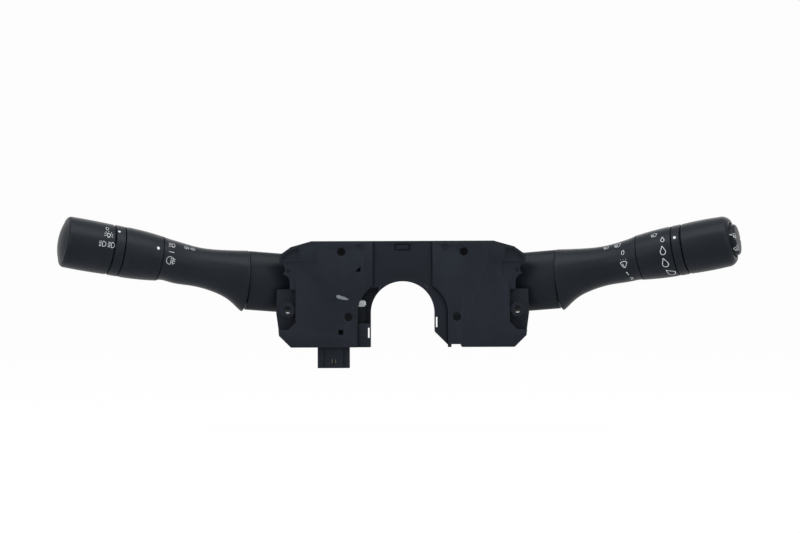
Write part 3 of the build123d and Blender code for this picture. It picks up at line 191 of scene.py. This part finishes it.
MATERIALS = {
    "stalk": material("stalk_satin_plastic", STALK_BLACK, STALK_BLACK_PALE,
                      rough=0.31, spread=0.12, bump=0.10, specular=0.11),
    "cover": material("cover_matt_plastic", COVER_BLACK, COVER_BLACK_PALE,
                      grain=1800, patch=32, rough=0.50, spread=0.16, bump=0.16, specular=0.09),
    "frame": material("frame_glass_filled_nylon", FRAME_BLACK, COVER_BLACK,
                      grain=1500, patch=60, rough=0.46, spread=0.14, bump=0.14, specular=0.09),
    "screw": material("screw_black_steel", SCREW_BLACK, SCREW_BLACK_PALE,
                      grain=3000, patch=200, rough=0.45, bump=0.06, specular=0.12),
    # painted light: the lighter screw colour that lifts the shade on the recessed screws below
    # the pivots
    "low_screw_painted_light": material("screw_black_steel_painted_light", LOW_SCREW_PAINTED_LIGHT, LOW_SCREW_PAINTED_LIGHT_PALE,
                          grain=3000, patch=200, rough=0.45, bump=0.06, specular=0.12),
    "inner": material("inner_grey_nylon", INNER_GREY, INNER_GREY_PALE,
                      grain=2000, rough=0.42, bump=0.08),
    "nylon": material("natural_white_nylon", NYLON_WHITE, NYLON_SHADE,
                      grain=2500, rough=0.40, bump=0.05),
    "steel": material("zinc_plated_steel", STEEL, STEEL_DARK,
                      grain=4000, patch=300, rough=0.26, bump=0.05, metal=1.0),
    "copper": material("contact_copper", COPPER, COPPER_DARK,
                       grain=3500, patch=200, rough=0.28, bump=0.04, metal=1.0),
    "board": material("solder_mask_green", BOARD_GREEN, BOARD_GREEN_DARK,
                      grain=3000, patch=120, rough=0.35, bump=0.05),
    "tin": material("tinned_terminal", TIN, TIN_DARK,
                    grain=3500, patch=250, rough=0.30, bump=0.05, metal=1.0),
    "dab": material("inspection_paint", DAB_GREY, DAB_SHADE,
                    grain=4000, patch=900, rough=0.55, bump=0.05),
    "print": material("printed_white", PRINT_WHITE, PRINT_SHADE,
                      grain=5000, patch=600, rough=0.55, bump=0.05),
}

SLOT_MATERIAL = {
    "housing_black": "cover", "stalk_black": "stalk", "inner_grey": "inner",
    "white_nylon": "nylon", "spring_steel": "steel", "contact_copper": "copper",
    "board_green": "board", "tinned_brass": "tin",
}


# ------------------------------------------------------------------ dressing the CAD nodes
WELD_DISTANCE = 2e-6
FLAT_ANGLE = radians(0.4)        # faces this close in direction become one
BEVEL_ANGLE = radians(40)        # sharper edges than this are rounded
SMOOTH_ANGLE = radians(35)       # and blunter ones than this are shaded as a curve
ROUND_ANGLE = radians(14)        # how far a turned face may stand from its true surface


def only(piece):
    """Selects this piece alone and makes it active."""
    bpy.ops.object.select_all(action="DESELECT")
    piece.select_set(True)
    bpy.context.view_layer.objects.active = piece


def weld(piece):
    """Joins a mesh's separate triangles and merges those that lie flat."""
    only(piece)
    bpy.ops.object.mode_set(mode="EDIT")
    bpy.ops.mesh.select_all(action="SELECT")
    bpy.ops.mesh.remove_doubles(threshold=WELD_DISTANCE)
    bpy.ops.mesh.dissolve_limited(angle_limit=FLAT_ANGLE)
    bpy.ops.object.mode_set(mode="OBJECT")


def paint(piece, name):
    piece.data.materials.clear()
    piece.data.materials.append(MATERIALS[name])


def dress(node, finish, bevel=0.0):
    """A welded, smooth-shaded copy of a CAD node, with its small edges rounded, in its place."""
    source = frame["nodes"][node]
    copy = bpy.data.objects.new(f"{node}_finished", source.data.copy())
    bpy.context.scene.collection.objects.link(copy)
    weld(copy)
    if bevel:
        rounding = copy.modifiers.new("rounding", "BEVEL")
        rounding.width = bevel * MM
        rounding.segments = 2
        rounding.limit_method = "ANGLE"
        rounding.angle_limit = BEVEL_ANGLE
        bpy.ops.object.modifier_apply(modifier="rounding")
    bpy.ops.object.shade_smooth_by_angle(angle=SMOOTH_ANGLE)
    paint(copy, finish)
    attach(copy, source["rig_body"])
    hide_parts(node)
    return copy


LEAN, RISE = radians(17.0), radians(10.25)
PIVOT_X, PIVOT_Y, PIVOT_Z = 56 * MM, 19 * MM, 16.8 * MM
RIGHT_AXIS = Vector((cos(LEAN) * cos(RISE), -sin(LEAN) * cos(RISE), sin(RISE)))
LEFT_AXIS = Vector((cos(LEAN) * cos(RISE), sin(LEAN) * cos(RISE), -sin(RISE)))
TURNED = {  # pieces turned about a stalk's axis, and the side of that stalk
    "light_knob": -1, "left_index_ring": -1, "fog_ring": -1,
    "interval_ring": 1, "right_index_ring": 1, "stalk_end_cap": 1,
}


def turned_normals(piece, side):
    """Exact round shading for a piece that was turned about its stalk's axis."""
    axis = LEFT_AXIS if side < 0 else RIGHT_AXIS
    centre = Vector((side * PIVOT_X, PIVOT_Y, PIVOT_Z))
    mesh = piece.data
    smooth_limit, round_limit = cos(SMOOTH_ANGLE), cos(ROUND_ANGLE)
    near = [[] for _ in mesh.vertices]
    for face in mesh.polygons:
        flat = face.normal.copy()
        lift = flat.dot(axis)
        for index in face.vertices:
            spoke = mesh.vertices[index].co - centre
            spoke = (spoke - axis * spoke.dot(axis)).normalized()
            if flat.dot(spoke) < 0:
                spoke.negate()
            turned = (axis * lift + spoke * max(0.0, 1 - lift * lift) ** 0.5).normalized()
            best = turned if turned.dot(flat) > round_limit else flat
            near[index].append((flat, best, face.area))
    normals = []
    for face in mesh.polygons:
        for index in face.vertices:
            total = Vector((0, 0, 0))
            for flat, best, area in near[index]:
                if flat.dot(face.normal) > smooth_limit:
                    total += best * area
            normals.append(total.normalized())
    mesh.normals_split_custom_set(normals)


NODE_SLOTS = {part["node"]: part["material_slot"] for part in frame["record"]["subparts"]}
ROUNDED = {  # width of the rounded edges, in mm
    "left_front_cover": 0.25, "right_front_cover": 0.25, "base_frame": 0.2,
    "left_rear_housing": 0.3, "right_rear_housing": 0.3, "cancel_pawl": 0.3,
    "left_stalk_front_shell": 0.3, "left_stalk_rear_shell": 0.3,
    "right_stalk_front_shell": 0.3, "right_stalk_rear_shell": 0.3,
    "light_plug_shell": 0.2, "wiper_plug_shell": 0.2,
}
OWN_FINISH = {"base_frame": "frame", "column_collar": "frame", "cover_screws": "screw"}
finished = {}
for node, slot_name in NODE_SLOTS.items():
    finish = OWN_FINISH.get(node, SLOT_MATERIAL[slot_name])
    finished[node] = dress(node, finish, ROUNDED.get(node, 0.0))
    if node in TURNED:
        turned_normals(finished[node], TURNED[node])

screws = finished["cover_screws"].data   # painted light: the screws below the pivots get a lighter screw colour that stands in for light in their shaded recesses
screws.materials.append(MATERIALS["low_screw_painted_light"])
for face in screws.polygons:
    face.material_index = int(face.center.z < PIVOT_Z)

SPRINGS = {  # each spring's joint, the x of its fixed end and the joint's travel, in mm
    "left_detent_spring": ("left_detent", -52.0, 1.5),
    "right_detent_spring": ("right_detent", 52.0, 1.5),
    "cancel_spring": ("cancel_slide", -28.0, 3.5),
}
for node, (joint, fixed_end, travel) in SPRINGS.items():
    spring = finished[node]
    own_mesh(spring)


# ------------------------------------------------------------------ printed symbols
PRINT_STEP = 0.35        # longest straight piece of a printed line, in mm
PRINT_RAISE = 0.04       # height of the ink over the plastic, in mm
PRINT_SMOOTH = radians(50)
PROBE_START = 6          # mm over the plastic, from where a mark is dropped onto it
IMAGE_W, IMAGE_H = 800, 533      # the camera's image; marks are placed by the pixel they show at
PIXELS_PER_RADIAN = CAMERA_LENS / SENSOR_WIDTH * IMAGE_W


def sight_line(px, py):
    """Direction from the camera through a pixel of its image."""
    across = (px - IMAGE_W / 2) / PIXELS_PER_RADIAN
    up = (IMAGE_H / 2 - py) / PIXELS_PER_RADIAN
    return Matrix.Rotation(CAMERA_ROLL, 3, "Y") @ Vector((across, 1, up)).normalized()


def arc(radius, start, end, centre=(0, 0), steps=10, squash=1.0):
    """Points of a circular or oval arc, in degrees."""
    points = []
    for step in range(steps + 1):
        angle = radians(start + (end - start) * step / steps)
        points.append((centre[0] + radius * cos(angle), centre[1] + squash * radius * sin(angle)))
    return points


def lamp_lines(size, bars, slant):
    """A lamp seen from the side, with light bars to its left."""
    body = arc(size, 90, -90, (0.25 * size, 0), 12)
    lines = [body + [(0.05 * size, -size), (-0.1 * size, 0), (0.05 * size, size), body[0]]]
    for index in range(bars):
        height = size * (0.85 - 1.7 * index / (bars - 1))
        lines.append([(-0.4 * size, height), (-1.35 * size, height - slant)])
    return lines


def sun_lines(size):
    """A bulb with rays round it."""
    lines = [arc(0.36 * size, -60, 240, steps=16),
             [(-0.17 * size, -0.33 * size), (-0.17 * size, -0.52 * size),
              (0.17 * size, -0.52 * size), (0.17 * size, -0.33 * size)]]
    for angle in (-20, 15, 50, 90, 130, 165, 200):
        across, up = cos(radians(angle)), sin(radians(angle))
        lines.append([(reach * size * across, reach * size * up) for reach in (0.6, 0.92)])
    return lines


def rear_fog_lines(size):
    """A lamp with three light bars to its right, crossed by a wavy line."""
    body = arc(size, 80, 280, (-0.2 * size, 0), 14)
    heights = [size * (index / 6 - 1) for index in range(13)]
    wave = [(size * (0.5 + 0.13 * sin(height * 5.0 / size)), height) for height in heights]
    bars = []
    for height in (0.62, 0.08, -0.46):
        bars.append([(0.15 * size, height * size), (1.15 * size, (height - 0.18) * size)])
    return [body + [body[0]], wave] + bars


def arrow_lines(side, size):
    """A broad arrow that points left (side -1) or right (side 1)."""
    tip, neck, tail = size * side, 0.05 * size * side, -0.85 * size * side
    wide, slim = 0.85 * size, 0.38 * size
    return [[(tip, 0), (neck, wide), (neck, slim), (tail, slim),
             (tail, -slim), (neck, -slim), (neck, -wide), (tip, 0)]]


def drop_lines(size):
    """A water drop."""
    low = -0.2 * size
    bulb = arc(0.32 * size, 155, 385, (0, low), 16)
    return [[(0, 0.5 * size)] + bulb + [(0, 0.5 * size)]]


def screen_lines(size):
    """A windscreen with a wiper across it."""
    top = arc(size * 1.9, 118, 62, (0, -size * 1.15))
    return [
        top + [(0.55 * size, -0.55 * size), (-0.55 * size, -0.55 * size), top[0]],
        [(0, -0.55 * size), (-0.35 * size, 0.1 * size)],
        [(-0.62 * size, -0.1 * size), (0.1 * size, 0.3 * size)],
    ]


def spray_lines(size):
    """A windscreen as a fan with a wiper, and three drops over it."""
    top = arc(size * 1.3, 128, 52, (0, -0.85 * size), 10)
    fan = top + [(0.25 * size, -0.95 * size), (-0.25 * size, -0.95 * size), top[0]]
    lines = [fan, [(0, -0.95 * size), (-0.28 * size, -0.05 * size)]]
    for across in (-0.62, 0, 0.62):
        lines.append([(across * size - 0.1, 0.92 * size), (across * size + 0.1, 0.92 * size)])
    return lines


ONE = [[(-0.5, 0.7), (0.1, 1.35), (0.1, -1.35)]]
TWO = [arc(0.75, 170, -30, (0, 0.65), 10) + [(-0.8, -1.4), (0.8, -1.4)]]
ZERO = [arc(0.85, 0, 360, steps=20, squash=1.65)]


def fine_steps(points):
    """The same line with points close enough to follow a curved surface."""
    spots = [points[0]]
    for (x0, y0), (x1, y1) in zip(points, points[1:]):
        count = max(1, ceil(dist((x0, y0), (x1, y1)) / PRINT_STEP))
        for step in range(1, count + 1):
            spots.append((x0 + (x1 - x0) * step / count, y0 + (y1 - y0) * step / count))
    return spots


def add_line(curve, spots, closed):
    """Adds a line through points in mm to a curve."""
    spline = curve.splines.new("POLY")
    spline.points.add(len(spots) - 1)
    for spot, (across, up) in zip(spline.points, spots):
        spot.co = (across * MM, up * MM, 0, 1)
    spline.use_cyclic_u = closed


def curve_mesh(name, curve):
    """The curve as a mesh object."""
    piece = bpy.data.objects.new(name, curve)
    bpy.context.scene.collection.objects.link(piece)
    only(piece)
    bpy.ops.object.convert(target="MESH")
    return bpy.context.object


def stroke_mesh(name, lines, width):
    """Printed lines as one mesh: flat ribbons in the X-Y plane, thickest along their middle."""
    curve = bpy.data.curves.new(name, "CURVE")
    curve.dimensions = "3D"
    curve.bevel_depth = width / 2 * MM
    curve.bevel_resolution = 1
    curve.use_fill_caps = True
    for points in lines:
        closed = dist(points[0], points[-1]) < 1e-6
        add_line(curve, fine_steps(points)[:-1] if closed else fine_steps(points), closed)
    return curve_mesh(name, curve)


def patch_mesh(name, outline):
    """A thin patch with this outline."""
    curve = bpy.data.curves.new(name, "CURVE")
    curve.dimensions = "2D"
    curve.fill_mode = "BOTH"
    curve.extrude = PRINT_RAISE * MM
    add_line(curve, outline, True)
    return curve_mesh(name, curve)


def dot_mesh(name, radius):
    bpy.ops.object.select_all(action="DESELECT")
    bpy.ops.mesh.primitive_uv_sphere_add(segments=24, ring_count=12, radius=radius * MM)
    dot = bpy.context.object
    dot.name = name
    return dot


def lay_on(piece, node, pixel, turn, along, finish="print"):
    """Lays a flat mark on a node's surface, where the camera's line through a pixel meets it."""
    target = finished[node]
    origin = Vector((CAMERA_X, CAMERA_Y, CAMERA_Z))
    hit, place, normal, _ = target.ray_cast(origin, sight_line(*pixel))
    if not hit:
        raise RuntimeError(f"{piece.name} misses {node}")
    across = (along - normal * along.dot(normal)).normalized()
    across = Matrix.Rotation(radians(turn), 3, normal) @ across
    up = normal.cross(across)
    half_height = piece.dimensions.z / 2
    for vertex in piece.data.vertices:
        x, y, z = vertex.co
        start = place + across * x + up * y + normal * PROBE_START * MM
        hit, spot, _, _ = target.ray_cast(start, -normal)
        if not hit:
            spot = place + across * x + up * y
        vertex.co = spot + normal * (z / half_height * PRINT_RAISE * MM)
    paint(piece, finish)
    only(piece)
    bpy.ops.object.shade_smooth_by_angle(angle=PRINT_SMOOTH)
    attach(piece, frame["nodes"][node]["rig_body"])
    return piece


LEFT_SHELL, RIGHT_SHELL = "left_stalk_front_shell", "right_stalk_front_shell"
# name, node, pixel, lines, stroke width in mm, turn in degrees
LEFT_MARKS = (
    ("side_lamp_symbol", "light_knob", (108.8, 234.9), sun_lines(3.1), 0.32, 0),
    ("dipped_beam_symbol", "light_knob", (102.7, 243.6), lamp_lines(1.65, 4, 0.3), 0.28, 0),
    ("main_beam_symbol", "light_knob", (111.5, 244.9), lamp_lines(1.65, 4, 0.0), 0.28, 0),
    ("lamps_off_symbol", "light_knob", (107.4, 228.6), ZERO, 0.28, 0),
    ("front_fog_symbol", LEFT_SHELL, (172.1, 245.0), lamp_lines(1.6, 3, 0.4), 0.30, 0),
    ("fog_off_symbol", LEFT_SHELL, (171.9, 252.1), [[(-1.6, 0), (1.6, 0)]], 0.36, 0),
    ("rear_fog_symbol", LEFT_SHELL, (171.0, 260.6), rear_fog_lines(2.4), 0.26, 0),
    ("turn_left_symbol", LEFT_SHELL, (186.6, 247.8), arrow_lines(-1, 1.6), 0.26, 0),
    ("turn_right_symbol", LEFT_SHELL, (192.9, 249.1), arrow_lines(1, 1.6), 0.26, 0),
)
RIGHT_MARKS = (
    ("mist_symbol_small", RIGHT_SHELL, (606.0, 248.0), screen_lines(1.8), 0.26, 0),
    ("mist_symbol", RIGHT_SHELL, (617.5, 245.6), screen_lines(2.4), 0.30, 0),
    ("wipers_off_zero", RIGHT_SHELL, (622.7, 252.6), ZERO, 0.30, -8),
    ("wiper_interval_symbol", RIGHT_SHELL, (623.7, 263.4), spray_lines(2.7), 0.34, 0),
    ("wiper_speed_one", RIGHT_SHELL, (627.5, 273.6), ONE, 0.36, 12),
    ("wiper_speed_two", RIGHT_SHELL, (631.6, 278.4), TWO, 0.34, 0),
    ("ring_wiper_symbol", "interval_ring", (653.8, 235.4), screen_lines(2.2), 0.26, 0),
    ("drop_smallest", "interval_ring", (662.3, 239.2), drop_lines(3.4), 0.34, 0),
    ("drop_small", "interval_ring", (662.6, 250.2), drop_lines(5.3), 0.38, 0),
    ("drop_large", "interval_ring", (664.8, 262.6), drop_lines(5.9), 0.42, 8),
    ("drop_largest", "interval_ring", (670.4, 272.4), drop_lines(6.6), 0.40, 40),
    ("rear_wash_symbol", "rear_wiper_rocker", (735.4, 236.0), screen_lines(2.0), 0.30, 0),
    ("rear_wipe_symbol", "rear_wiper_rocker", (737.6, 248.2), screen_lines(2.2), 0.30, 0),
)
# name, node, pixel, radius in mm, axis
DOTS = (
    ("light_index_dot", "left_index_ring", (119.5, 231.6), 0.8, LEFT_AXIS),
    ("fog_index_dot", "fog_ring", (158.5, 248.1), 0.95, LEFT_AXIS),
    ("interval_index_dot", "right_index_ring", (674.4, 237.5), 0.95, RIGHT_AXIS),
)

for marks, axis in ((LEFT_MARKS, LEFT_AXIS), (RIGHT_MARKS, RIGHT_AXIS)):
    for name, node, pixel, lines, width, turn in marks:
        lay_on(stroke_mesh(name, lines, width), node, pixel, turn, axis)
for name, node, pixel, radius, axis in DOTS:
    lay_on(dot_mesh(name, radius), node, pixel, 0.0, axis)

DAB_OUTLINE = (
    (-4.0, 1.3), (-3.6, 1.9), (-2.4, 1.9), (-1.2, 1.5), (-0.4, 1.0), (0.8, 0.9), (1.6, 0.6),
    (2.6, -0.4), (3.9, -0.5), (3.6, -0.9), (2.8, -1.0), (2.4, -1.7), (1.8, -1.2), (0.6, -1.1),
    (-0.6, -0.9), (-1.8, -0.6), (-3.2, -0.1), (-3.9, 0.5),
)
dab = patch_mesh("inspection_dab", DAB_OUTLINE)
lay_on(dab, "left_front_cover", (342.7, 298.0), 0.0, Vector((1, 0, 0)), "dab")


# ------------------------------------------------------------------ floor, light and camera
def seen_rays(nodes, links):
    """A value of 1 for the rays that show the background: camera, glossy and transmission."""
    path = nodes.new("ShaderNodeLightPath")
    direct, seen = nodes.new("ShaderNodeMath"), nodes.new("ShaderNodeMath")
    for node, first, second in (
        (direct, path.outputs["Is Camera Ray"], path.outputs["Is Glossy Ray"]),
        (seen, direct.outputs[0], path.outputs["Is Transmission Ray"]),
    ):
        node.operation = "MAXIMUM"
        links.new(first, node.inputs[0])
        links.new(second, node.inputs[1])
    return seen.outputs[0]


def paper_material():
    """White paper: it shows as background white, with a part left to the light for the shadow."""
    made = bpy.data.materials.new("pale_paper")
    made.use_nodes = True
    nodes, links = made.node_tree.nodes, made.node_tree.links
    shader = nodes["Principled BSDF"]
    shader.inputs["Base Color"].default_value = PAPER_WHITE
    shader.inputs["Roughness"].default_value = 0.9
    glow, mix = nodes.new("ShaderNodeEmission"), nodes.new("ShaderNodeMixShader")
    share = nodes.new("ShaderNodeMath")
    share.operation = "MULTIPLY"
    share.inputs[1].default_value = PAPER_GLOW
    links.new(seen_rays(nodes, links), share.inputs[0])
    links.new(share.outputs[0], mix.inputs["Fac"])
    links.new(shader.outputs["BSDF"], mix.inputs[1])
    links.new(glow.outputs["Emission"], mix.inputs[2])
    links.new(mix.outputs["Shader"], nodes["Material Output"].inputs["Surface"])
    return made


def add_sweep():
    """A floor that curves up behind the switch, so that no edge of it shows."""
    bpy.ops.object.select_all(action="DESELECT")
    bpy.ops.mesh.primitive_grid_add(x_subdivisions=2, y_subdivisions=SWEEP_STEPS, size=SWEEP_SIZE)
    sweep = bpy.context.object
    sweep.name = "floor"
    for vertex in sweep.data.vertices:
        along = vertex.co.y - SWEEP_START_Y
        turn = min(max(along / SWEEP_RADIUS, 0), pi / 2)
        rest = max(along - SWEEP_RADIUS * pi / 2, 0)
        vertex.co.z = FLOOR_Z + SWEEP_RADIUS * (1 - cos(turn)) + rest
        vertex.co.y = min(vertex.co.y, SWEEP_START_Y) + SWEEP_RADIUS * sin(turn)
    only(sweep)
    bpy.ops.object.shade_smooth()
    sweep.data.materials.append(paper_material())


def add_light(name, place, target, size, power):
    lamp = bpy.data.lights.new(name, "AREA")
    lamp.shape = "RECTANGLE"
    lamp.size, lamp.size_y = size
    lamp.energy = power
    holder = bpy.data.objects.new(name, lamp)
    holder.location = place
    holder.rotation_euler = (Vector(target) - Vector(place)).to_track_quat("-Z", "Y").to_euler()
    bpy.context.scene.collection.objects.link(holder)


def set_world():
    """Surroundings that look white but light the switch only weakly."""
    world = bpy.data.worlds.new("studio")
    bpy.context.scene.world = world
    world.use_nodes = True
    nodes, links = world.node_tree.nodes, world.node_tree.links
    back = nodes["Background"]
    back.inputs["Color"].default_value = (1, 1, 1, 1)
    level = nodes.new("ShaderNodeMapRange")
    level.inputs["To Min"].default_value = WORLD_FILL
    level.inputs["To Max"].default_value = 1.0
    links.new(seen_rays(nodes, links), level.inputs["Value"])
    links.new(level.outputs["Result"], back.inputs["Strength"])


def add_camera():
    data = bpy.data.cameras.new("camera")
    data.lens = CAMERA_LENS
    data.sensor_width = SENSOR_WIDTH
    camera = bpy.data.objects.new("camera", data)
    camera.location = (CAMERA_X, CAMERA_Y, CAMERA_Z)
    camera.rotation_euler = (pi / 2, CAMERA_ROLL, 0)
    bpy.context.scene.collection.objects.link(camera)
    bpy.context.scene.camera = camera


add_sweep()
add_light("overhead_softbox", (0.0, -0.35, 1.0), (0, 0, 0.02), (1.6, 0.7), 10)
add_light("overhead_strip", (0.0, -0.55, 0.9), (0, 0, 0.02), (1.8, 0.10), 3)
add_light("left_softbox", (-1.1, -1.0, 0.5), (-0.05, 0, 0.02), (0.7, 0.9), 4.5)
add_light("right_softbox", (1.1, -1.0, 0.5), (0.05, 0, 0.02), (0.7, 0.9), 4)
add_light("back_softbox", (0.3, 1.2, 0.7), (0, 0, 0.02), (1.2, 0.6), 2)
set_world()
add_camera()
bpy.context.scene.view_settings.view_transform = "Standard"
